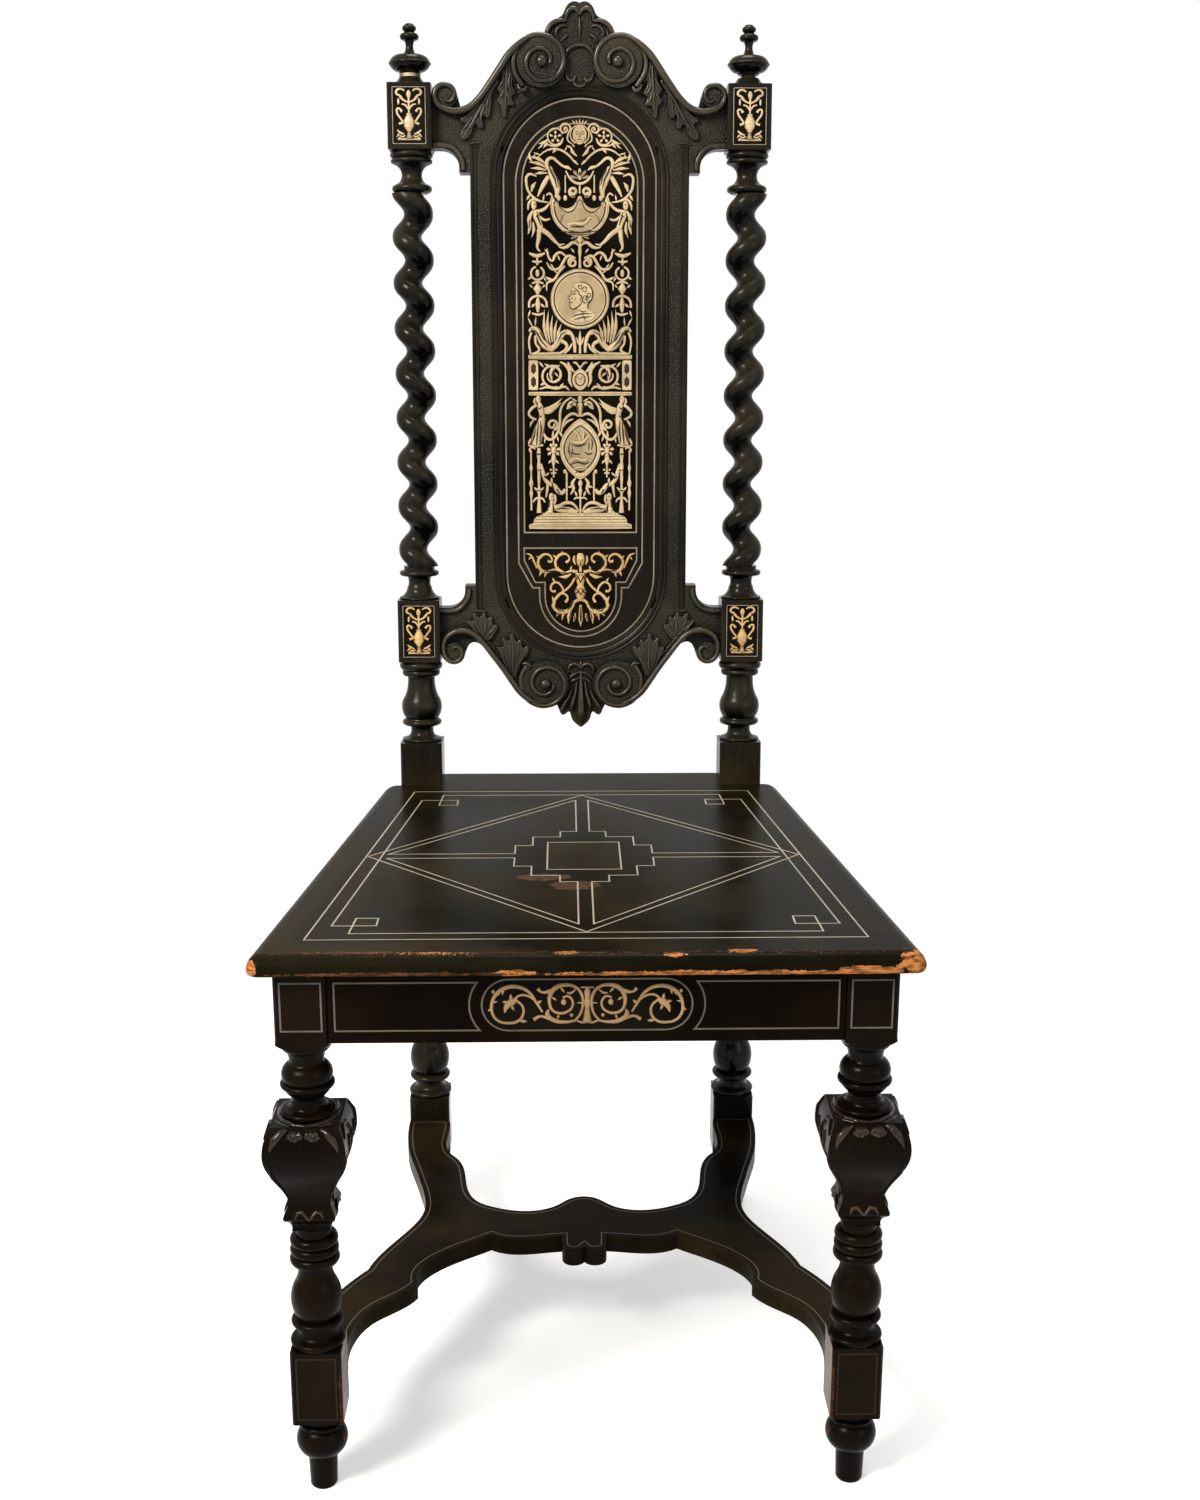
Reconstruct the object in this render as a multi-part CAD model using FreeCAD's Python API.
import FreeCAD, Part
import math
import os

# Hall chair of ebonised wood with bone inlay, in millimetres.
# Z is up, the chair faces -Y and X runs from its left (as seen from the front) to its right.
# The origin lies on the floor under the middle of the chair's bounding box.

vec = FreeCAD.Vector
half = 0.5
zero = vec(0, 0, 0)
across = vec(1, 0, 0)
upward = vec(0, 0, 1)

# Driving dimensions of the whole chair
seat_height = 460.0
front_leg_spacing = 422.5
rear_post_spacing = 310.4
leg_spacing_depth = 453.3
post_side = 40.0
rake_degrees = 3.4
overrun = 1.0

# Upper part of the rear post, from the seat up along its rake
base_block_height = 41.5
vase_length = 79.3
lower_block_height = 59.5
lower_turning_length = 31.7
twist_length = 344.0
twist_turns = 8.32
twist_start_degrees = -141.5
upper_turning_length = 37.6
upper_block_height = 57.7
cap_length = 9.9
twist_envelope = 38.0
twist_bine = 27.0
twist_bine_share = 1.12
turning_radius = 19.5
arris_chamfer = 1.6

# Finial
finial_length = 43.8
finial_radius = 19.4
finial_pin_radius = 3.0
finial_pin_length = 16.0
finial_ring_radius = 9.7
pin_end_clearance = 1.0

# Legs
foot_length = 65.0
leg_block_height = 63.0
console_half_width = 31.0
console_reach = 34.0
rear_column_radius = 16.5
leg_stack_shares = (0.2659, 0.3622, 0.3931, 0.7514, 0.9518)
leg_radius = 20.0
leg_neck_radius = 14.0

# Seat frame and seat board
seat_thickness = 15.5
seat_overhang = 14.5
seat_side_overhang = 14.5
seat_back_overhang = 3.0
seat_corner_radius = 10.0
seat_rear_corner_radius = 14.0
seat_top_round = 11.0
seat_under_round = 3.5
apron_height = 57.0
apron_thickness = 20.0
tenon_length = 14.0
tenon_shoulder = 6.0
mortise_clearance = 0.5
glue_block_reach = 42.0
glue_block_height = 32.0
screw_radius = 2.0
screw_head_radius = 4.0
screw_head_height = 3.0
screw_bite = 9.0
screw_place_share = 1 / 3

# Stretcher
stretcher_top = 104.6
stretcher_thickness = 16.0
stretcher_bar_length = 167.0
stretcher_tenon_length = 12.0
stretcher_tenon_height = 8.0
stretcher_tenon_width = 22.0
dowel_radius = 3.0
dowel_half_length = 12.0
lobe_radius = 10.4

# Carved back
back_wing = 34.2
back_set = 12.0
back_thickness = 22.0
crest_joint_lift = 4.4
bottom_joint_lift = 50.2
crest_hook_drop = 24.0
bottom_hook_rise = 22.5
crest_rise = 124.0
bottom_fall = 116.0
stile_width = 28.4
upper_arch_drop = 28.5
lower_arch_rise = 32.8
rebate_width = 6.0
lip_depth = 5.0
moulding_width = 8.5
moulding_depth = 4.0
panel_thickness = 8.0
bead_thickness = 6.0
stile_tenon_length = 16.0
stile_tenon_thickness = 7.0
cove_radius = 17.2
cove_lead = 4.3
hook_width = 10.0
volute_radius = 22.5
volute_offset = 34.6
crest_volute_rise = 72.5
bottom_volute_fall = 72.4
ear_radius = 10.6
ear_gap = 2.3
crest_ear_rise = 42.8
bottom_ear_fall = 42.4
relief = 6.0
back_dowel_radius = 4.0
back_dowel_half_length = 14.0
back_dowel_spacing = 22.0
back_dowel_reach = 19.0

# Bone and ebony inlay
line_width = 1.3
line_depth = 1.0
veneer_thickness = 0.8
bone_thickness = 0.4
double_line_gap = 13.1
corner_knot_side = 17.0
seat_line_front = 3.9
seat_line_rear_inset = 43.3
seat_line_margin = 34.9
diamond_band = 8.0
split_band = 11.6
knot_square_half_width = 31.0
knot_square_half_depth = 38.0
cross_width_shares = (0.65, 1.42, 1.90)
cross_depth_shares = (1.85, 1.42, 0.76)
corner_bulge = 0.2
rear_corner_bulge = 0.12

# Plates and lines of the inlay
inlay_margin = 4.0
outer_line_inset = 2.0
arch_line_drop = 4.5
main_plate_inset = 19.0
main_plate_rise_share = 0.551
lower_plate_inset = 18.6
lower_plate_radius_share = 0.6333
lower_plate_elbow_share = 0.8056
lower_plate_level_shares = (0.3457, 0.1818, -0.1074, -0.2893)
lower_line_gap = 5.3
medallion_radius = 27.4
medallion_share = 0.5806
lunette_radius = 25.5
lunette_top_share = 0.8042
lunette_drop = 30.0
almond_share = 0.2183
almond_half_height = 31.9
almond_half_width = 18.0
ledge_shares = (0.3527, 0.4301)
ledge_inset = 4.6
ledge_height = 2.5
plinth_gap = 4.3
plinth_height = 12.4
cartouche_half_length = 78.5
cartouche_half_height = 20.8
cartouche_lift = 1.0
cartouche_ring_radius = 13.0
ring_width = 2.0
apron_line_margin = 9.0
line_inset = 4.2
end_arc_gap = 8.0

# Places worked out from the driving dimensions
half_post = post_side * half
half_front = front_leg_spacing * half
half_rear = rear_post_spacing * half
rake = math.radians(rake_degrees)
vase_top = base_block_height + vase_length
lower_block_top = vase_top + lower_block_height
twist_start = lower_block_top + lower_turning_length
twist_end = twist_start + twist_length
upper_block_base = twist_end + upper_turning_length
upper_block_top = upper_block_base + upper_block_height
post_top = upper_block_top + cap_length
twist_radius = (twist_envelope - twist_bine) * half
disc_share = 0.21
disc_height = post_top + finial_length * disc_share
depth_at_back = disc_height * math.sin(rake) + (half_post + finial_radius) * math.cos(rake)
overall_depth = seat_overhang + leg_spacing_depth + depth_at_back
front_y = seat_overhang + half_post - overall_depth * half
rear_y = front_y + leg_spacing_depth
rear_face = rear_y - half_post
leg_face = front_y - half_post
seat_front = leg_face - seat_overhang
seat_back = rear_y + half_post + seat_back_overhang
seat_under = seat_height - seat_thickness
apron_base = seat_under - apron_height
leg_block_top = foot_length + leg_block_height
baluster_top, triple_ring_top, console_base, console_top, leg_turning_top = [
    leg_block_top + (apron_base - leg_block_top) * share for share in leg_stack_shares]
splay = (half_front - half_rear) / leg_spacing_depth
apron_width_x = apron_thickness * math.hypot(1, splay)
back_front = back_set
back_rear = back_set + back_thickness
panel_front = back_front + lip_depth
panel_rear = panel_front + panel_thickness
post_inner = half_rear - half_post
back_half_width = post_inner - back_wing
opening_half_width = back_half_width - stile_width
ear_offset = post_inner - ear_gap - ear_radius
crest_joint = upper_block_base + crest_joint_lift
crest_hook = crest_joint - crest_hook_drop
crest_top = crest_joint + crest_rise
crest_ear_height = crest_joint + crest_ear_rise
crest_volute_height = crest_joint + crest_volute_rise
upper_arch_centre = crest_joint - upper_arch_drop
bottom_joint = vase_top + bottom_joint_lift
bottom_hook = bottom_joint + bottom_hook_rise
drop_tip = bottom_joint - bottom_fall
bottom_ear_height = bottom_joint - bottom_ear_fall
bottom_volute_height = bottom_joint - bottom_volute_fall
lower_arch_centre = bottom_joint + lower_arch_rise
arch_line_centre = upper_arch_centre - arch_line_drop
main_plate_base = lower_arch_centre + opening_half_width * main_plate_rise_share
main_plate_half_width = opening_half_width - main_plate_inset
lower_plate_half_width = opening_half_width - lower_plate_inset
lower_plate_radius = lower_plate_half_width * lower_plate_radius_share
lower_plate_elbow = lower_plate_half_width * lower_plate_elbow_share
lower_plate_top, lower_plate_shoulder, lower_plate_step, lower_plate_centre = [
    lower_arch_centre + opening_half_width * share for share in lower_plate_level_shares]

# Outlines of the turnings: share of the length, share of the radius, bulge of the line that follows
vase_shares = [
    (0.00, 0.92, 0.40), (0.033, 0.92, 0), (0.04, 0.85, -0.20), (0.13, 0.56, -0.12),
    (0.19, 0.62, 0), (0.195, 0.82, 0.50), (0.27, 0.82, 0), (0.28, 0.80, 0.165),
    (0.56, 0.82, -0.05), (0.74, 0.67, 0), (0.81, 0.67, 0), (0.81, 0.86, 0.25),
    (0.885, 0.86, 0), (0.885, 0.935, 0.30), (0.985, 0.935, 0), (1.0, 0.93, 0)]
lower_turning_shares = [
    (0.00, 0.94, 0.40), (0.07, 0.94, 0), (0.08, 0.88, -0.12), (0.36, 0.60, -0.10),
    (0.55, 0.54, -0.12), (0.69, 0.63, 0), (0.70, 0.83, 0.50), (0.87, 0.83, 0),
    (0.88, 0.75, 0), (1.0, 0.75, 0)]
upper_turning_shares = [
    (0.00, 0.75, 0), (0.02, 0.80, 0.35), (0.19, 0.86, 0), (0.22, 0.74, -0.14),
    (0.42, 0.48, -0.16), (0.68, 0.80, 0), (0.70, 0.89, 0.40), (0.82, 0.90, 0),
    (0.84, 0.94, 0.30), (0.97, 0.94, 0), (1.0, 0.93, 0)]
cap_shares = [(0.00, 0.90, -0.10), (0.60, 0.54, 0), (0.70, 0.50, 0), (0.70, 0.345, 0), (1.0, 0.345, 0)]
finial_shares = [
    (0.00, 0.48, 0), (0.04, 0.52, 0.14), (0.18, 0.95, 0.40), (0.235, 0.955, 0.20),
    (0.375, 0.42, 0), (0.385, 0.32, -0.10), (0.56, 0.18, -0.06), (0.66, 0.24, 0),
    (0.67, 0.33, 0.40), (0.81, 0.31, 0), (0.83, 0.22, 0), (0.85, 0.26, 0.32),
    (0.965, 0.23, 0.20), (1.0, 0.06, 0)]
foot_shares = [
    (0.00, 0.50, 0), (0.02, 0.54, 0), (0.44, 0.58, 0), (0.455, 0.68, 0.26),
    (0.83, 0.72, 0), (0.84, 0.82, 0.40), (0.90, 0.82, 0), (0.905, 0.74, 0), (1.0, 0.74, 0)]
baluster_shares = [
    (0.00, 0.95, 0.45), (0.08, 0.95, 0), (0.085, 0.86, -0.20), (0.17, 0.67, -0.12),
    (0.235, 0.74, 0), (0.24, 0.86, 0.50), (0.33, 0.86, 0), (0.335, 0.78, 0.14),
    (0.80, 0.76, -0.06), (0.96, 0.67, 0), (1.0, 0.68, 0)]
triple_ring_shares = [(0.00, 0.82, 0.34), (0.34, 0.83, 0.30), (0.66, 0.82, 0.32), (1.0, 0.77, 0)]
upper_leg_turning_shares = [
    (0.00, 0.95, 0.45), (0.10, 0.95, 0), (0.105, 0.85, -0.20), (0.20, 0.66, -0.10),
    (0.29, 0.64, 0), (0.30, 0.67, 0.05), (0.43, 0.94, 0.40), (0.52, 0.95, 0),
    (0.525, 0.90, 0.22), (0.80, 0.70, 0), (0.82, 0.66, -0.05), (1.0, 0.76, 0)]
tongue_shares = [(0.00, 0.77, 0.15), (0.45, 0.98, 0), (0.50, 1.05, 0.10), (1.0, 1.45, 0)]
rear_column_shares = [
    (0.00, 0.86, 0), (0.04, 0.70, -0.03), (0.42, 0.92, 0.03), (0.80, 0.78, 0),
    (0.82, 1.05, 0.45), (0.90, 1.05, 0), (0.91, 0.85, 0), (1.0, 0.94, 0)]

# Console of the front leg: share of its height, share of its reach or half width
console_front_shares = [
    (0.00, 0.38), (0.09, 0.44), (0.15, 0.62), (0.22, 0.52), (0.36, 0.52), (0.55, 0.82),
    (0.73, 1.00), (0.90, 0.96), (1.0, 0.78)]
console_back_shares = [
    (0.00, 0.42), (0.10, 0.60), (0.22, 0.48), (0.40, 0.54), (0.62, 0.80), (0.84, 0.92), (1.0, 0.72)]
console_side_shares = [
    (0.00, 0.48), (0.09, 0.54), (0.155, 0.64), (0.23, 0.55), (0.36, 0.56), (0.53, 0.78),
    (0.73, 1.00), (0.88, 0.98), (1.0, 0.84)]

# Stretcher outlines: share of the way back, share of the side reach by which the edge lies inside
# the line from leg to leg
outer_front_shares = [(0.12, -0.115), (0.21, -0.085), (0.285, -0.015), (0.318, 0.030)]
outer_middle_shares = [(0.39, 0.072), (0.45, 0.130), (0.54, 0.185), (0.60, 0.160), (0.672, 0.098)]
outer_rear_shares = [(0.73, 0.045), (0.80, -0.020), (0.87, -0.065)]
inner_rear_shares = [(0.88, 0.150), (0.82, 0.172), (0.779, 0.232)]
inner_middle_shares = [(0.73, 0.300), (0.66, 0.345), (0.60, 0.400)]
inner_front_shares = [(0.396, 0.405), (0.353, 0.310), (0.306, 0.268), (0.272, 0.287)]
inner_tip_shares = [(0.225, 0.210), (0.19, 0.130), (0.12, 0.075)]
seam_rear_share = 0.557
seam_front_share = 0.446
bar_rear_shares = [(0.76, 0.541), (0.55, 0.540), (0.30, 0.561), (0.14, 0.590), (0.0, 0.598)]
bar_front_shares = [(0.72, 0.428), (0.43, 0.433), (0.24, 0.438)]
lobe_centre_share = 0.408
lobe_apart_share = 0.9

# Back outlines: share of the half width, share of the height between joint and tip
crest_side_shares = [
    (0.32, 0.736), (0.41, 0.735), (0.51, 0.700), (0.60, 0.648), (0.68, 0.575),
    (0.75, 0.482), (0.82, 0.405), (0.88, 0.345), (0.95, 0.298), (1.03, 0.272), (1.08, 0.270)]
palmette_shares = [
    (0.0, 1.0), (0.095, 0.995), (0.125, 0.965), (0.155, 0.915), (0.225, 0.885),
    (0.285, 0.845), (0.31, 0.790)]
bottom_side_shares = [
    (0.23, 0.810), (0.31, 0.820), (0.40, 0.812), (0.48, 0.785), (0.56, 0.736), (0.64, 0.658),
    (0.71, 0.560), (0.79, 0.472), (0.87, 0.385), (0.94, 0.310), (1.01, 0.278), (1.07, 0.30)]
drop_shares = [(0.0, 1.0), (0.045, 0.972), (0.09, 0.920), (0.115, 0.868), (0.155, 0.890), (0.205, 0.858)]

# Outlines of bone figures: share of the width, share of the height; and places along the cartouche
urn_shares = [(0.5, 0.0), (0.5, 0.06), (0.12, 0.12), (0.12, 0.22), (0.30, 0.32), (0.30, 0.42),
              (0.10, 0.50), (0.06, 0.72), (0.34, 0.84), (0.34, 0.95), (0.0, 1.0)]
foliage_shares = [(0.9, 1.0), (0.72, 0.80), (0.16, 0.70), (0.12, 0.45), (0.50, 0.42), (0.42, 0.16),
                  (0.0, 0.0)]
scroll_place_shares = (-0.95, -0.35, 0.35, 0.95)


def box(x0, x1, y0, y1, z0, z1):
    """A block between two corners."""
    return Part.makeBox(x1 - x0, y1 - y0, z1 - z0, vec(x0, y0, z0))


def mirrored(shape):
    """The same shape on the other side of the chair's middle plane."""
    return shape.mirror(zero, across)


def moved(shape, x, y, z):
    """A copy of the shape, moved."""
    copy = shape.copy()
    copy.translate(vec(x, y, z))
    return copy


def rod(radius, start, direction, length):
    """A round pin."""
    return Part.makeCylinder(radius, length, start, direction)


def segment(start, end, bulge, plane):
    """A line, or an arc whose middle stands out by a share of its chord."""
    first = plane(*start)
    last = plane(*end)
    if bulge == 0:
        return Part.LineSegment(first, last).toShape()
    run = end[0] - start[0]
    rise = end[1] - start[1]
    middle = ((start[0] + end[0]) * half + rise * bulge, (start[1] + end[1]) * half - run * bulge)
    return Part.Arc(first, plane(*middle), last).toShape()


def turning(shares, length, radius, base):
    """A turned stretch on the Z axis that starts at base."""
    points = [(radius * share[1], base + length * share[0]) for share in shares]
    bulges = [share[2] for share in shares]
    corners = [(0, base)] + points
    bends = [0] + bulges
    if points[-1][0] > 0:
        corners.append((0, base + length))
        bends.append(0)
    edges = []
    for index in range(len(corners) - 1):
        start = corners[index]
        end = corners[index + 1]
        if start != end:
            edges.append(segment(start, end, bends[index], lambda r, z: vec(r, 0, z)))
    edges.append(Part.LineSegment(vec(corners[-1][0], 0, corners[-1][1]), vec(0, 0, base)).toShape())
    return Part.Face(Part.Wire(edges)).revolve(zero, upward, 360)


def curve(points):
    """A smooth edge through the points."""
    spline = Part.BSplineCurve()
    spline.interpolate(points)
    return spline.toShape()


def line(start, end):
    """A straight edge."""
    return Part.LineSegment(start, end).toShape()


def slab(edges, thickness):
    """The closed outline made by the edges, thickened along the given vector."""
    return Part.Face(Part.Wire(edges)).extrude(thickness)


def polygon(points, thickness):
    """A straight-sided plate."""
    return Part.Face(Part.makePolygon(points + [points[0]])).extrude(thickness)


def raked(shape):
    """Leans a shape made in the upright frame of the back, whose front plane is the posts' face."""
    copy = shape.copy()
    copy.rotate(zero, across, -rake_degrees)
    copy.translate(vec(0, rear_face, seat_height))
    return copy


def centreline(y):
    """Half the distance between the left and right legs at a place along the depth."""
    return half_front - splay * (y - front_y)


def post_block(base, height):
    """A square block of a post with eased arrises, standing on the Z axis."""
    block = box(-half_post, half_post, -half_post, half_post, base, base + height)
    upright = [edge for edge in block.Edges if abs(edge.tangentAt(0).z) > half]
    return block.makeChamfer(arris_chamfer, upright)


def twist(hand):
    """A single-start barley twist; hand is 1 when it climbs to the right, else -1."""
    pitch = twist_length / twist_turns
    helix = Part.makeHelix(pitch, twist_length, twist_radius)
    spine = Part.Wire(helix.Edges)
    long_side = vec(twist_radius, twist_bine * half * twist_bine_share, 0)
    short_side = vec(twist_radius + twist_bine * half, 0, 0)
    section = Part.Wire(Part.Ellipse(long_side, short_side, vec(twist_radius, 0, 0)).toShape())
    sweep = Part.BRepOffsetAPI.MakePipeShell(spine)
    sweep.setBiNormalMode(upward)
    sweep.add(section)
    sweep.build()
    sweep.makeSolid()
    shape = moved(sweep.shape(), 0, 0, twist_start)
    shape.rotate(zero, upward, twist_start_degrees)
    if hand < 0:
        shape = mirrored(shape)
    return shape


def upper_post(hand):
    """The raked part of a rear post, made upright on the Z axis from the seat up."""
    pieces = [
        post_block(0, base_block_height),
        turning(vase_shares, vase_length, turning_radius, base_block_height),
        post_block(vase_top, lower_block_height),
        turning(lower_turning_shares, lower_turning_length, turning_radius, lower_block_top),
        twist(hand),
        turning(upper_turning_shares, upper_turning_length, turning_radius, twist_end),
        post_block(upper_block_base, upper_block_height),
        turning(cap_shares, cap_length, turning_radius, upper_block_top)]
    post = pieces[0].fuse(pieces[1:]).removeSplitter()
    depth = finial_pin_length + pin_end_clearance
    return post.cut(rod(finial_pin_radius, vec(0, 0, post_top - depth), upward, depth + overrun))


def lower_leg():
    """Foot, stretcher block, baluster and rings, the same on all four legs."""
    return [
        turning(foot_shares, foot_length, leg_radius, 0),
        post_block(foot_length, leg_block_height),
        turning(baluster_shares, baluster_top - leg_block_top, leg_radius, leg_block_top),
        turning(triple_ring_shares, triple_ring_top - baluster_top, leg_radius, baluster_top)]


def tongued_block():
    """The top block of a leg, whose lower corners run out in an ogee to the round."""
    drop = apron_base - leg_turning_top
    shaped = turning(tongue_shares, drop, leg_radius, leg_turning_top)
    square = box(-half_post, half_post, -half_post, half_post, leg_turning_top, apron_base)
    return [shaped.common(square), post_block(apron_base, seat_under - apron_base)]


def console():
    """The scrolled console of a front leg."""
    def height(share):
        return console_base + (console_top - console_base) * share

    front = [vec(0, -console_reach * out, height(up)) for up, out in console_front_shares]
    back = [vec(0, console_reach * out, height(up)) for up, out in console_back_shares]
    side_face = [curve(front), line(front[-1], back[-1]), curve(back), line(back[0], front[0])]
    right = [vec(console_half_width * out, 0, height(up)) for up, out in console_side_shares]
    left = [vec(-point.x, 0, point.z) for point in right]
    front_face = [curve(right), line(right[-1], left[-1]), curve(left), line(left[0], right[0])]
    reach = console_reach + overrun
    width = console_half_width + overrun
    across_shape = moved(slab(side_face, vec(width + width, 0, 0)), -width, 0, 0)
    deep_shape = moved(slab(front_face, vec(0, reach + reach, 0)), 0, -reach, 0)
    return across_shape.common(deep_shape)


def stretcher_tenon(front):
    """The tenon of a side stretcher, on the leg's own axis, towards the middle of the chair."""
    middle = stretcher_top - stretcher_thickness * half
    low = middle - stretcher_tenon_height * half
    side = stretcher_tenon_width * half
    high = low + stretcher_tenon_height
    if front:
        return box(-side, side, half_post - stretcher_tenon_length, half_post, low, high)
    return box(-side, side, -half_post, stretcher_tenon_length - half_post, low, high)


def front_leg():
    """A front leg on the Z axis, without its mortises."""
    neck = rod(leg_neck_radius, vec(0, 0, triple_ring_top), upward, console_base - triple_ring_top)
    upper = turning(upper_leg_turning_shares, leg_turning_top - console_top, leg_radius, console_top)
    pieces = lower_leg() + [neck, console(), upper] + tongued_block()
    leg = pieces[0].fuse(pieces[1:]).removeSplitter()
    return leg.cut(stretcher_tenon(True))


def rear_leg():
    """The upright lower part of a rear post on the Z axis, up to the seat."""
    length = leg_turning_top - triple_ring_top
    column = turning(rear_column_shares, length, rear_column_radius, triple_ring_top)
    knee = box(-half_post, half_post, -half_post, half_post, seat_under, seat_height)
    pieces = lower_leg() + [column] + tongued_block() + [knee]
    leg = pieces[0].fuse(pieces[1:]).removeSplitter()
    return leg.cut(stretcher_tenon(False))


def side_apron(clearance):
    """Right side apron with its two tenons, or the room that they need in the legs."""
    start = front_y + half_post
    end = rear_face
    outer_front = half_front + half_post
    outer_rear = half_rear + half_post
    slope = (outer_front - outer_rear) / (end - start)

    def outer(y):
        return outer_front - slope * (y - start)

    def plate(first, last, near, far, base, top):
        corners = [
            vec(outer(first) - near, first, base), vec(outer(last) - near, last, base),
            vec(outer(last) - far, last, base), vec(outer(first) - far, first, base)]
        return polygon(corners, vec(0, 0, top - base))

    reach = tenon_length + clearance
    far = apron_width_x - tenon_shoulder
    tenons = plate(start - reach, end + reach, tenon_shoulder, far,
                   apron_base + tenon_shoulder, seat_under - tenon_shoulder)
    if clearance > 0:
        return tenons
    return plate(start, end, 0, apron_width_x, apron_base, seat_under).fuse(tenons).removeSplitter()


def cross_apron(inner, face, clearance):
    """An apron that runs across the chair between two legs, or the room for its tenons."""
    reach = inner + tenon_length + clearance
    low = apron_base + tenon_shoulder
    high = seat_under - tenon_shoulder
    near = face + tenon_shoulder
    far = face + apron_thickness - tenon_shoulder
    tenons = box(-reach, reach, near, far, low, high)
    if clearance > 0:
        return tenons
    board = box(-inner, inner, face, face + apron_thickness, apron_base, seat_under)
    return board.fuse(tenons).removeSplitter()


def glue_block_outline(front):
    """Plan of the right-hand corner block, clear round the leg's inner corner."""
    inner = half_front - half_post if front else post_inner
    sign = 1 if front else -1
    wall = leg_face + apron_thickness if front else rear_y + half_post - apron_thickness
    corner = front_y + half_post if front else rear_face
    start = front_y + half_post
    slope = (half_front - half_rear) / (rear_face - start)
    side = half_front + half_post - apron_width_x

    def side_inner(y):
        return side - slope * (y - start)

    far = corner + sign * glue_block_reach
    base = seat_under - glue_block_height
    return [vec(inner - glue_block_reach, wall, base), vec(inner, wall, base), vec(inner, corner, base),
            vec(side_inner(corner), corner, base), vec(side_inner(far), far, base)]


def glue_blocks():
    """The four corner blocks and the screws that go up through them into the seat."""
    blocks = []
    screws = []
    base = seat_under - glue_block_height
    for front in (True, False):
        corners = glue_block_outline(front)
        block = polygon(corners, vec(0, 0, glue_block_height))
        place = (corners[0] + corners[2] + corners[4]) * screw_place_share
        shank = rod(screw_radius, vec(place.x, place.y, base), upward, glue_block_height + screw_bite)
        head = Part.makeCone(screw_head_radius, screw_radius, screw_head_height, vec(place.x, place.y, base))
        screw = shank.fuse(head).removeSplitter()
        block = block.cut(screw)
        blocks += [block, mirrored(block)]
        screws += [screw, mirrored(screw)]
    return blocks, screws


def seat_side(y):
    """Half width of the seat board at a place along the depth."""
    return centreline(y) + half_post + seat_side_overhang


def seat_board():
    """The seat board with its rounded edge, notched round the rear posts."""
    def flat(x, y):
        return vec(x, y, seat_under)

    front_width = seat_side(seat_front)
    turn = seat_corner_radius
    rear_turn = seat_rear_corner_radius
    front_corner = [
        (front_width - turn, seat_front, corner_bulge), (seat_side(seat_front + turn), seat_front + turn, 0)]
    plain = front_corner + [(seat_side(seat_back), seat_back, 0), (0, seat_back, 0)]
    notched = front_corner + [
        (seat_side(rear_face - rear_turn), rear_face - rear_turn, rear_corner_bulge),
        (seat_side(rear_face) - rear_turn, rear_face, 0),
        (post_inner, rear_face, 0), (post_inner, seat_back, 0), (0, seat_back, 0)]

    def plate(points):
        edges = []
        for start, end in zip(points, points[1:]):
            edge = segment(start[:2], end[:2], start[2], flat)
            edges += [edge, edge.mirror(zero, across)]
        edges.append(line(flat(points[0][0], seat_front), flat(-points[0][0], seat_front)))
        return Part.Face(Part.Wire(Part.__sortEdges__(edges))).extrude(vec(0, 0, seat_thickness))

    def rim(shape, z):
        near = line_depth * half
        return [edge for edge in shape.Edges
                if abs(edge.CenterOfMass.z - z) < near and edge.BoundBox.ZLength < near
                and edge.CenterOfMass.y < rear_face]

    board = plate(plain)
    board = board.makeFillet(seat_top_round, rim(board, seat_height))
    board = board.makeFillet(seat_under_round, rim(board, seat_under))
    return board.common(plate(notched))


def strips(points, closed, top):
    """Strips of bone along a route of straight runs, mitred at its corners, let in from the top."""
    count = len(points)
    left = []
    right = []
    for index in range(count):
        here = points[index]
        legs = []
        if closed or index > 0:
            legs.append(here - points[index - 1])
        if closed or index < count - 1:
            legs.append(points[(index + 1) % count] - here)
        normals = [vec(-leg.y, leg.x, 0) * (1 / leg.Length) for leg in legs]
        mean = normals[0] + normals[-1]
        mitre = mean * (line_width / mean.dot(mean))
        left.append(vec(here.x + mitre.x, here.y + mitre.y, top))
        right.append(vec(here.x - mitre.x, here.y - mitre.y, top))
    drop = vec(0, 0, -line_depth)
    runs = []
    for index in range(count if closed else count - 1):
        after = (index + 1) % count
        runs.append(polygon([left[index], left[after], right[after], right[index]], drop))
    return runs


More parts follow.
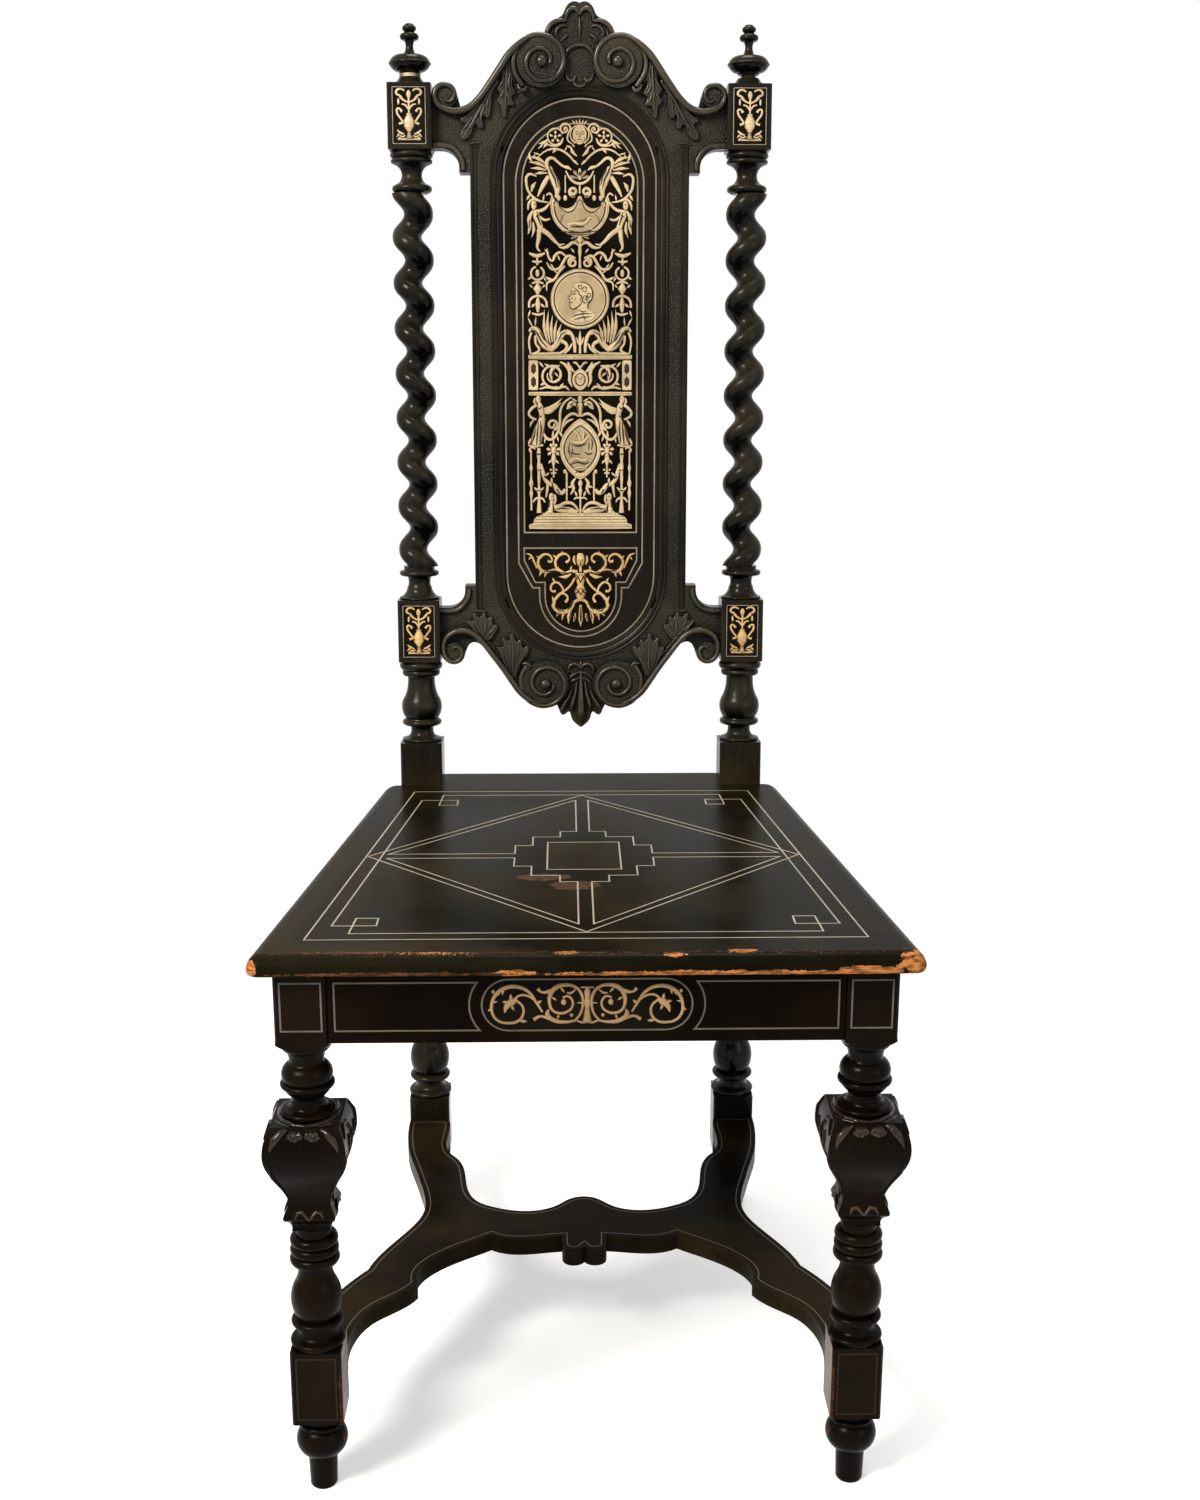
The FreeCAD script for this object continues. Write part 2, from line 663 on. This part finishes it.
def seat_lines():
    """Bone stringing of the seat: border, knotted inner border, diamond, triangles and centre."""
    def side(y):
        return seat_side(y) - seat_line_margin

    front = front_y + seat_line_front
    back = rear_y - seat_line_rear_inset
    near = front + double_line_gap
    far = back - double_line_gap
    middle = (near + far) * half
    knot = corner_knot_side

    def inner_side(y):
        return side(y) - double_line_gap

    border = [vec(side(front), front, 0), vec(side(back), back, 0), vec(-side(back), back, 0),
              vec(-side(front), front, 0)]
    runs = strips(border, True, seat_height)
    near_y = near + knot
    far_y = far - knot
    column = [
        (inner_side(near) - knot, near), (inner_side(near_y) - knot, near_y + knot),
        (inner_side(near_y) - knot - knot, near_y + knot), (inner_side(near_y) - knot - knot, near_y),
        (inner_side(near_y), near_y), (inner_side(far_y), far_y), (inner_side(far_y) - knot - knot, far_y),
        (inner_side(far_y) - knot - knot, far_y - knot), (inner_side(far_y) - knot, far_y - knot),
        (inner_side(far) - knot, far)]
    loop = [vec(x, y, 0) for x, y in column]
    loop += [vec(-x, y, 0) for x, y in reversed(column)]
    runs += strips(loop, True, seat_height)
    wide = side(middle) - line_width
    deep = (far - near) * half - line_width
    diamond = [
        vec(wide, middle, 0), vec(0, middle + deep, 0), vec(-wide, middle, 0), vec(0, middle - deep, 0)]
    runs += strips(diamond, True, seat_height)
    shrink = diamond_band * math.hypot(wide, deep) / (wide * deep)
    tip_x = wide * (1 - shrink)
    tip_y = deep * (1 - shrink)
    bar = split_band * half
    step_x = [knot_square_half_width * share for share in cross_width_shares]
    step_y = [knot_square_half_depth * share for share in cross_depth_shares]
    quarter = [
        (bar, step_y[0]), (bar, tip_y * (1 - bar / tip_x)), (tip_x * (1 - bar / tip_y), bar),
        (step_x[2], bar), (step_x[2], step_y[2]), (step_x[1], step_y[2]), (step_x[1], step_y[1]),
        (step_x[0], step_y[1]), (step_x[0], step_y[0])]
    for x_sign in (1, -1):
        for y_sign in (1, -1):
            route = [vec(x_sign * x, middle + y_sign * y, 0) for x, y in quarter]
            runs += strips(route, True, seat_height)
    wide = knot_square_half_width
    deep = knot_square_half_depth
    square = [vec(wide, middle - deep, 0), vec(wide, middle + deep, 0), vec(-wide, middle + deep, 0),
              vec(-wide, middle - deep, 0)]
    runs += strips(square, True, seat_height)
    return runs[0].fuse(runs[1:]).removeSplitter().Solids


def along(y_share):
    """A place between the front and rear leg axes."""
    return front_y + leg_spacing_depth * y_share


def inside(shares):
    """Points of a stretcher edge on the right side."""
    reach = centreline(along(half))
    return [vec(centreline(along(back)) - reach * inward, along(back), 0) for back, inward in shares]


def side_stretcher():
    """The right side piece of the stretcher, shaped between the front and the rear leg."""
    start = front_y + half_post
    front_outer = vec(half_front + half_post, start, 0)
    front_inner = vec(half_front - half_post, start, 0)
    rear_outer = vec(half_rear + half_post, rear_face, 0)
    rear_inner = vec(post_inner, rear_face, 0)
    seam = stretcher_bar_length * half
    seam_rear = vec(seam, along(seam_rear_share), 0)
    seam_front = vec(seam, along(seam_front_share), 0)
    outer_front = inside(outer_front_shares)
    outer_middle = inside(outer_middle_shares)
    outer_rear = inside(outer_rear_shares)
    inner_rear = inside(inner_rear_shares)
    inner_middle = inside(inner_middle_shares)
    inner_front = inside(inner_front_shares)
    inner_tip = inside(inner_tip_shares)
    edges = [
        curve([front_outer] + outer_front),
        curve([outer_front[-1]] + outer_middle),
        curve([outer_middle[-1]] + outer_rear + [rear_outer]),
        line(rear_outer, rear_inner),
        curve([rear_inner] + inner_rear),
        curve([inner_rear[-1]] + inner_middle + [seam_rear]),
        line(seam_rear, seam_front),
        curve([seam_front] + inner_front),
        curve([inner_front[-1]] + inner_tip + [front_inner]),
        line(front_inner, front_outer)]
    plate = slab(edges, vec(0, 0, stretcher_thickness))
    return moved(plate, 0, 0, stretcher_top - stretcher_thickness)


def bar_stretcher():
    """The middle piece of the stretcher, with its rear bump and two front lobes."""
    seam = stretcher_bar_length * half
    rear = [vec(seam * x, along(y), 0) for x, y in bar_rear_shares]
    right_rear = [vec(seam, along(seam_rear_share), 0)] + rear
    left_rear = [vec(-point.x, point.y, 0) for point in reversed(right_rear[:-1])]
    front = [vec(seam, along(seam_front_share), 0)]
    front += [vec(seam * x, along(y), 0) for x, y in bar_front_shares]
    lobe_x = lobe_radius * lobe_apart_share
    lobe_y = along(lobe_centre_share)
    cheek = vec(lobe_x + lobe_radius, lobe_y, 0)
    tip = vec(lobe_x, lobe_y - lobe_radius, 0)
    notch = vec(0, lobe_y - lobe_radius * math.sqrt(1 - lobe_apart_share ** 2), 0)
    left_front = [vec(-point.x, point.y, 0) for point in front]
    left_cheek = vec(-cheek.x, cheek.y, 0)
    left_tip = vec(-tip.x, tip.y, 0)
    edges = [
        curve(right_rear + left_rear),
        line(left_rear[-1], left_front[0]),
        curve(left_front),
        line(left_front[-1], left_cheek),
        Part.Arc(left_cheek, left_tip, notch).toShape(),
        Part.Arc(notch, tip, cheek).toShape(),
        line(cheek, front[-1]),
        curve(list(reversed(front))),
        line(front[0], right_rear[0])]
    plate = slab(edges, vec(0, 0, stretcher_thickness))
    return moved(plate, 0, 0, stretcher_top - stretcher_thickness)


def stretcher_dowels():
    """Four dowels across the two seams of the stretcher."""
    seam = stretcher_bar_length * half
    level = stretcher_top - stretcher_thickness * half
    middle = (seam_rear_share + seam_front_share) * half
    apart = (seam_rear_share - seam_front_share) * half * half
    dowels = []
    for side in (seam, -seam):
        for share in (middle - apart, middle + apart):
            start = vec(side - dowel_half_length, along(share), level)
            dowels.append(rod(dowel_radius, start, across, dowel_half_length + dowel_half_length))
    return dowels


def stadium(radius, y):
    """A tall outline with round ends, in the upright frame of the back."""
    high = upper_arch_centre
    low = lower_arch_centre
    return Part.Wire([
        Part.Arc(vec(radius, y, high), vec(0, y, high + radius), vec(-radius, y, high)).toShape(),
        line(vec(-radius, y, high), vec(-radius, y, low)),
        Part.Arc(vec(-radius, y, low), vec(0, y, low - radius), vec(radius, y, low)).toShape(),
        line(vec(radius, y, low), vec(radius, y, high))])


def stadium_plate(radius, y, depth):
    """A plate with round ends."""
    return Part.Face(stadium(radius, y)).extrude(vec(0, depth, 0))


def frame_opening():
    """Everything that is cut from the frame of the back to hold and show the panel."""
    through = stadium_plate(opening_half_width, back_front - overrun, back_thickness + overrun + overrun)
    rebate = stadium_plate(opening_half_width + rebate_width, panel_front, back_thickness)
    spread = moulding_width / moulding_depth
    wide = stadium(opening_half_width + moulding_width + overrun * spread, back_front - overrun)
    narrow = stadium(opening_half_width, back_front + moulding_depth)
    moulding = Part.makeLoft([wide, narrow], True, True)
    return through.fuse([rebate, moulding])


def halves(points):
    """Mirrors right-hand points onto the left, in reverse order."""
    return [vec(-point.x, point.y, point.z) for point in reversed(points)]


def rail_board(joint, tip, hook, ear_height, tip_shares, side_shares):
    """A carved rail between the two posts, from its joint with the stiles out to its tip."""
    away = math.copysign(1, tip - joint)
    y = back_front

    def place(share):
        return vec(back_half_width * share[0], y, joint + (tip - joint) * share[1])

    middle = [place(share) for share in tip_shares]
    side = [place(share) for share in side_shares]
    ear_end = vec(ear_offset, y, ear_height + away * ear_radius)
    ear_side = vec(post_inner, y, ear_height)
    ear_inner = vec(ear_offset - ear_radius, y, ear_height)
    start = hook + away * cove_lead
    cove_end = start + away * cove_radius
    hook_x = back_half_width + hook_width
    turn = cove_radius * math.sqrt(half)
    cove_middle = vec(hook_x + cove_radius - turn, y, start + away * turn)
    right = [
        curve(middle),
        line(middle[-1], side[0]),
        curve(side),
        line(side[-1], ear_inner),
        Part.Arc(ear_inner, ear_end, ear_side).toShape(),
        line(ear_side, vec(post_inner, y, cove_end)),
        line(vec(post_inner, y, cove_end), vec(hook_x + cove_radius, y, cove_end)),
        Part.Arc(vec(hook_x + cove_radius, y, cove_end), cove_middle, vec(hook_x, y, start)).toShape(),
        line(vec(hook_x, y, start), vec(hook_x, y, hook)),
        line(vec(hook_x, y, hook), vec(back_half_width, y, hook)),
        line(vec(back_half_width, y, hook), vec(back_half_width, y, joint)),
        line(vec(back_half_width, y, joint), vec(0, y, joint)),
        line(vec(0, y, joint), middle[0])]
    board = slab(right, vec(0, back_thickness, 0))
    return board.fuse(mirrored(board)).removeSplitter()


def bosses(volute_z, ear_z):
    """Raised rounds that the scrolls of a rail are carved from."""
    forward = vec(0, -1, 0)
    rounds = []
    for x, z, radius in ((volute_offset, volute_z, volute_radius), (ear_offset, ear_z, ear_radius)):
        boss = rod(radius, vec(x, back_front + overrun, z), forward, relief + overrun)
        rounds += [boss, mirrored(boss)]
    return rounds


def rail_dowels(height):
    """Dowels between one rail of the back and the two posts, in the upright frame."""
    depth = back_front + back_thickness * half
    length = back_dowel_half_length + back_dowel_half_length
    dowels = []
    for shift in (-half, half):
        start = vec(post_inner - back_dowel_half_length, depth, height + back_dowel_spacing * shift)
        dowel = rod(back_dowel_radius, start, across, length)
        dowels += [dowel, mirrored(dowel)]
    return dowels


def stile():
    """The right stile of the back with a tenon at each end, before its opening is cut."""
    board = box(opening_half_width, back_half_width, back_front, back_rear, bottom_joint, crest_joint)
    near = back_front + (back_thickness - stile_tenon_thickness) * half + lip_depth * half
    low = opening_half_width + rebate_width + lip_depth
    high = back_half_width - lip_depth
    tenon = box(low, high, near, near + stile_tenon_thickness,
                bottom_joint - stile_tenon_length, crest_joint + stile_tenon_length)
    return board.fuse(tenon).removeSplitter(), tenon


def flat_outline(points, y, depth):
    """A plate in the plane of the back from points given as (x, z)."""
    return polygon([vec(x, y, z) for x, z in points], vec(0, depth, 0))


def write(name, solids):
    """Saves one piece, or a group of like pieces, under its name."""
    shape = solids if isinstance(solids, Part.Shape) else Part.makeCompound(solids)
    shape.exportStep(os.path.join("parts", name + ".step"))
    print(name, len(shape.Solids), round(shape.Volume), shape.isValid())


def urn(width, height):
    """Outline of a footed urn with a stem and a round top, standing on z = 0."""
    right = [(width * x, height * z) for x, z in urn_shares]
    return right + [(-x, z) for x, z in reversed(right[:-1])]


def block_inlays():
    """Veneer grounds and bone urns of the four post blocks, in the upright frame of the back."""
    grounds = []
    bones = []
    for base, height in ((vase_top, lower_block_height), (upper_block_base, upper_block_height)):
        width = post_side - inlay_margin - inlay_margin
        tall = height - inlay_margin - inlay_margin
        x = half_rear
        ground = box(x - width * half, x + width * half, 0, veneer_thickness,
                     base + inlay_margin, base + inlay_margin + tall)
        figure = moved(flat_outline(urn(width - inlay_margin, tall - inlay_margin), -bone_thickness,
                                    bone_thickness), x, 0, base + inlay_margin + inlay_margin * half)
        grounds += [ground, mirrored(ground)]
        bones += [figure, mirrored(figure)]
    return grounds, bones


def arch_plate(radius, top_centre, base, y, depth):
    """A plate with a straight base and a round top."""
    crown = vec(0, y, top_centre + radius)
    edges = [
        Part.Arc(vec(radius, y, top_centre), crown, vec(-radius, y, top_centre)).toShape(),
        line(vec(-radius, y, top_centre), vec(-radius, y, base)),
        line(vec(-radius, y, base), vec(radius, y, base)),
        line(vec(radius, y, base), vec(radius, y, top_centre))]
    return slab(edges, vec(0, depth, 0))


def stepped_plate(grow, arched, y, depth):
    """The stepped plate with a round bottom, enlarged by a margin, or carried up to the top arch."""
    wide = lower_plate_half_width + grow
    slim = lower_plate_radius + grow
    top = arch_line_centre if arched else lower_plate_top + grow
    centre = lower_plate_centre
    points = [vec(wide, y, top), vec(wide, y, lower_plate_shoulder - grow * half),
              vec(lower_plate_elbow + grow * half, y, lower_plate_step - grow),
              vec(slim, y, lower_plate_step - grow), vec(slim, y, centre)]
    left = halves(points)
    chain = points + left
    edges = [line(points[i], points[i + 1]) for i in range(len(points) - 1)]
    edges.append(Part.Arc(points[-1], vec(0, y, centre - slim), left[0]).toShape())
    edges += [line(left[i], left[i + 1]) for i in range(len(left) - 1)]
    if arched:
        edges.append(Part.Arc(chain[-1], vec(0, y, top + wide), chain[0]).toShape())
    else:
        edges.append(line(chain[-1], chain[0]))
    return slab(edges, vec(0, depth, 0))


def ring_of(maker, size):
    """A bone line let into the panel along the outline made by maker(size, y, depth)."""
    outer = maker(size + line_width * half, panel_front, line_depth)
    inner = maker(size - line_width * half, panel_front - overrun, line_depth + overrun + overrun)
    return outer.cut(inner)


def main_plate(grow, y, depth):
    """The tall plate with a round top, enlarged by a margin."""
    return arch_plate(main_plate_half_width + grow, arch_line_centre, main_plate_base - grow, y, depth)


def panel_lines():
    """Bone stringing of the back panel."""
    outer = ring_of(stadium_plate, opening_half_width - outer_line_inset)
    long_line = ring_of(lambda grow, y, depth: stepped_plate(grow, True, y, depth), lower_line_gap)
    tall = ring_of(main_plate, 0)
    lower = ring_of(lambda grow, y, depth: stepped_plate(grow, False, y, depth), 0)
    return [outer, long_line, tall, lower]


def main_bones():
    """Main bone shapes of the tall plate: disc, lunette, almond, ledges and plinth."""
    def level(share):
        return main_plate_base + (arch_line_centre + main_plate_half_width - main_plate_base) * share

    y = panel_front - bone_thickness
    forward = vec(0, bone_thickness, 0)
    disc = rod(medallion_radius, vec(0, y, level(medallion_share)), vec(0, 1, 0), bone_thickness)
    rim = level(lunette_top_share)
    right = vec(lunette_radius, y, rim)
    left = vec(-lunette_radius, y, rim)
    bowl = Part.Arc(right, vec(0, y, rim - lunette_drop), left).toShape()
    lunette = slab([bowl, line(left, right)], forward)
    centre = level(almond_share)
    tip = vec(0, y, centre + almond_half_height)
    low = vec(0, y, centre - almond_half_height)
    almond = slab([
        Part.Arc(tip, vec(almond_half_width, y, centre), low).toShape(),
        Part.Arc(low, vec(-almond_half_width, y, centre), tip).toShape()], forward)
    wide = main_plate_half_width - ledge_inset
    ledges = [
        box(-wide, wide, y, panel_front, level(share), level(share) + ledge_height)
        for share in ledge_shares]
    plinth_base = main_plate_base + plinth_gap
    plinth = box(-wide, wide, y, panel_front, plinth_base, plinth_base + plinth_height)
    return [disc, lunette, almond, plinth] + ledges


def lower_bones():
    """Bone shape of the lower plate: a crown with a stem that spreads into a palmette."""
    y = panel_front - bone_thickness
    wide = lower_plate_half_width - inlay_margin
    top = lower_plate_top - inlay_margin
    low = lower_plate_centre - lower_plate_radius + inlay_margin
    right = [(wide * x, low + (top - low) * z) for x, z in foliage_shares]
    return flat_outline(right + [(-x, z) for x, z in reversed(right[:-1])], y, bone_thickness)


def cartouche(grow, y, depth):
    """The round-ended plate in the middle of the front apron."""
    radius = cartouche_half_height + grow
    run = cartouche_half_length - cartouche_half_height
    z = seat_under - apron_height * half + cartouche_lift
    edges = [
        line(vec(-run, y, z - radius), vec(run, y, z - radius)),
        Part.Arc(vec(run, y, z - radius), vec(run + radius, y, z), vec(run, y, z + radius)).toShape(),
        line(vec(run, y, z + radius), vec(-run, y, z + radius)),
        Part.Arc(vec(-run, y, z + radius), vec(-run - radius, y, z), vec(-run, y, z - radius)).toShape()]
    return slab(edges, vec(0, depth, 0))


def cartouche_bones():
    """Bone shape of the cartouche: a bar between two pairs of rings."""
    y = leg_face - bone_thickness
    z = seat_under - apron_height * half + cartouche_lift
    back = vec(0, 1, 0)
    reach = cartouche_half_length - cartouche_half_height
    through = bone_thickness + overrun + overrun
    ring = rod(cartouche_ring_radius, vec(0, y, z), back, bone_thickness)
    ring = ring.cut(rod(cartouche_ring_radius - ring_width, vec(0, y - overrun, z), back, through))
    bar = box(-reach, reach, y, leg_face, z - ring_width * half, z + ring_width * half)
    rings = [moved(ring, reach * share, 0, 0) for share in scroll_place_shares]
    return bar.fuse(rings).removeSplitter()


def frame_line(x0, x1, z0, z1):
    """A rectangular bone line on the front faces of legs and apron."""
    w = line_width
    outer = box(x0, x1, leg_face, leg_face + line_depth, z0, z1)
    inner = box(x0 + w, x1 - w, leg_face - overrun, leg_face + line_depth + overrun, z0 + w, z1 - w)
    return outer.cut(inner)


def front_lines():
    """Bone lines of the apron's rail panels, and of the leg blocks."""
    low = apron_base + apron_line_margin
    high = seat_under - apron_line_margin
    inner = half_front - half_post
    start = cartouche_half_length - cartouche_half_height
    swell = cartouche(end_arc_gap, leg_face - overrun, line_depth + overrun + overrun)
    arc = cartouche(end_arc_gap + line_width, leg_face, line_depth)
    arc = arc.common(box(start, inner, leg_face, leg_face + line_depth, low, high))
    rail = frame_line(start, inner - line_inset, low, high).fuse(arc).cut(swell).removeSplitter()
    block = frame_line(inner + line_inset, inner + post_side - line_inset, low, high)
    foot_low = foot_length + line_inset
    foot_high = leg_block_top - line_inset
    foot = frame_line(inner + line_inset, inner + post_side - line_inset, foot_low, foot_high)
    return rail.Solids + mirrored(rail).Solids, [block, mirrored(block), foot, mirrored(foot)]


def at(shape, x, y):
    """A leg or post moved from the Z axis to its place."""
    return moved(shape, x, y, 0)


def main():
    os.makedirs("parts", exist_ok=True)

    grounds, urns = block_inlays()
    dowels = rail_dowels(crest_joint + back_dowel_reach) + rail_dowels(bottom_joint - back_dowel_reach)
    rails, blocks = front_lines()
    side_room = side_apron(mortise_clearance)
    rear_apron_face = rear_y + half_post - apron_thickness
    rear_room = cross_apron(post_inner, rear_apron_face, mortise_clearance)
    front_room = cross_apron(half_front - half_post, leg_face, mortise_clearance)

    for hand, side in ((1, "right"), (-1, "left")):
        upper = moved(upper_post(hand), hand * half_rear, half_post, 0)
        upper = upper.cut(Part.makeCompound(grounds + dowels))
        lower = at(rear_leg(), hand * half_rear, rear_y)
        rooms = [side_room, mirrored(side_room), rear_room]
        post = raked(upper).fuse(lower).removeSplitter().cut(Part.makeCompound(rooms))
        write("rear_post_" + side, post)

        pin_base = vec(0, 0, post_top - finial_pin_length)
        finial = turning(finial_shares, finial_length, finial_radius, post_top)
        finial = finial.fuse(rod(finial_pin_radius, pin_base, upward, finial_pin_length + overrun))
        write("finial_" + side, raked(moved(finial.removeSplitter(), hand * half_rear, half_post, 0)))

        leg = at(front_leg(), hand * half_front, front_y)
        leg = leg.cut(Part.makeCompound([front_room, side_room, mirrored(side_room)] + blocks))
        write("front_leg_" + side, leg)

    neck = turning_radius * cap_shares[-1][1]
    ring_base = post_top - cap_length * (1 - cap_shares[2][0])
    ring = rod(finial_ring_radius, vec(0, 0, ring_base), upward, post_top - ring_base)
    ring = ring.cut(rod(neck, vec(0, 0, ring_base - overrun), upward, cap_length + overrun))
    write("finial_ring_left", raked(moved(ring, -half_rear, half_post, 0)))

    apron = cross_apron(half_front - half_post, leg_face, 0)
    plate = cartouche(-line_width, leg_face, veneer_thickness)
    edge = cartouche(0, leg_face, line_depth).cut(
        cartouche(-line_width, leg_face - overrun, line_depth + overrun + overrun))
    lines = rails + [edge]
    write("front_apron", apron.cut(Part.makeCompound(lines)).cut(plate))
    write("apron_inlay_ground", plate)
    write("apron_inlay_bone", cartouche_bones())
    write("apron_bone_lines", lines)
    write("leg_bone_lines", blocks)
    right_apron = side_apron(0)
    write("side_apron_right", right_apron)
    write("side_apron_left", mirrored(right_apron))
    write("rear_apron", cross_apron(post_inner, rear_apron_face, 0))

    corner_blocks, screws = glue_blocks()
    write("corner_glue_blocks", corner_blocks)
    write("seat_screws", screws)
    strings = seat_lines()
    board = seat_board().cut(Part.makeCompound(strings)).cut(Part.makeCompound(screws))
    write("seat_board", board)
    write("seat_bone_lines", strings)

    pins = stretcher_dowels()
    pin_group = Part.makeCompound(pins)
    tenon_front = at(stretcher_tenon(True), half_front, front_y)
    tenon_rear = at(stretcher_tenon(False), half_rear, rear_y)
    arm = side_stretcher().fuse([tenon_front, tenon_rear]).removeSplitter().cut(pin_group)
    write("stretcher_right", arm)
    write("stretcher_left", mirrored(arm))
    write("stretcher_bar", bar_stretcher().cut(pin_group))
    write("stretcher_dowels", pins)

    opening = frame_opening()
    dowel_room = Part.makeCompound(dowels)
    right_stile, tenon = stile()
    tenons = Part.makeCompound([tenon, mirrored(tenon)])
    right_stile = right_stile.cut(opening)
    write("back_stile_right", raked(right_stile))
    write("back_stile_left", raked(mirrored(right_stile)))
    crest = rail_board(
        crest_joint, crest_top, crest_hook, crest_ear_height, palmette_shares, crest_side_shares)
    crest = crest.fuse(bosses(crest_volute_height, crest_ear_height)).removeSplitter()
    write("crest_rail", raked(crest.cut(opening).cut(dowel_room).cut(tenons)))
    rail = rail_board(
        bottom_joint, drop_tip, bottom_hook, bottom_ear_height, drop_shares, bottom_side_shares)
    rail = rail.fuse(bosses(bottom_volute_height, bottom_ear_height)).removeSplitter()
    write("bottom_rail", raked(rail.cut(opening).cut(dowel_room).cut(tenons)))
    write("back_dowels", [raked(dowel) for dowel in dowels])

    strings = panel_lines()
    within = -line_width * half
    tall = main_plate(within, panel_front, veneer_thickness)
    low_plate = stepped_plate(within, False, panel_front, veneer_thickness)
    panel = stadium_plate(opening_half_width + rebate_width, panel_front, panel_thickness)
    panel = panel.cut(Part.makeCompound(strings)).cut(Part.makeCompound([tall, low_plate]))
    write("back_panel", raked(panel))
    write("panel_bone_lines", [raked(string) for string in strings])
    write("main_inlay_ground", raked(tall))
    write("lower_inlay_ground", raked(low_plate))
    write("main_inlay_bone", [raked(piece) for piece in main_bones()])
    write("lower_inlay_bone", raked(lower_bones()))
    bead = stadium_plate(opening_half_width + rebate_width, panel_rear, bead_thickness)
    through = bead_thickness + overrun + overrun
    bead = bead.cut(stadium_plate(opening_half_width, panel_rear - overrun, through))
    write("panel_bead", raked(bead))
    write("post_inlay_grounds", [raked(ground) for ground in grounds])
    write("post_inlay_bone", [raked(figure) for figure in urns])


main()
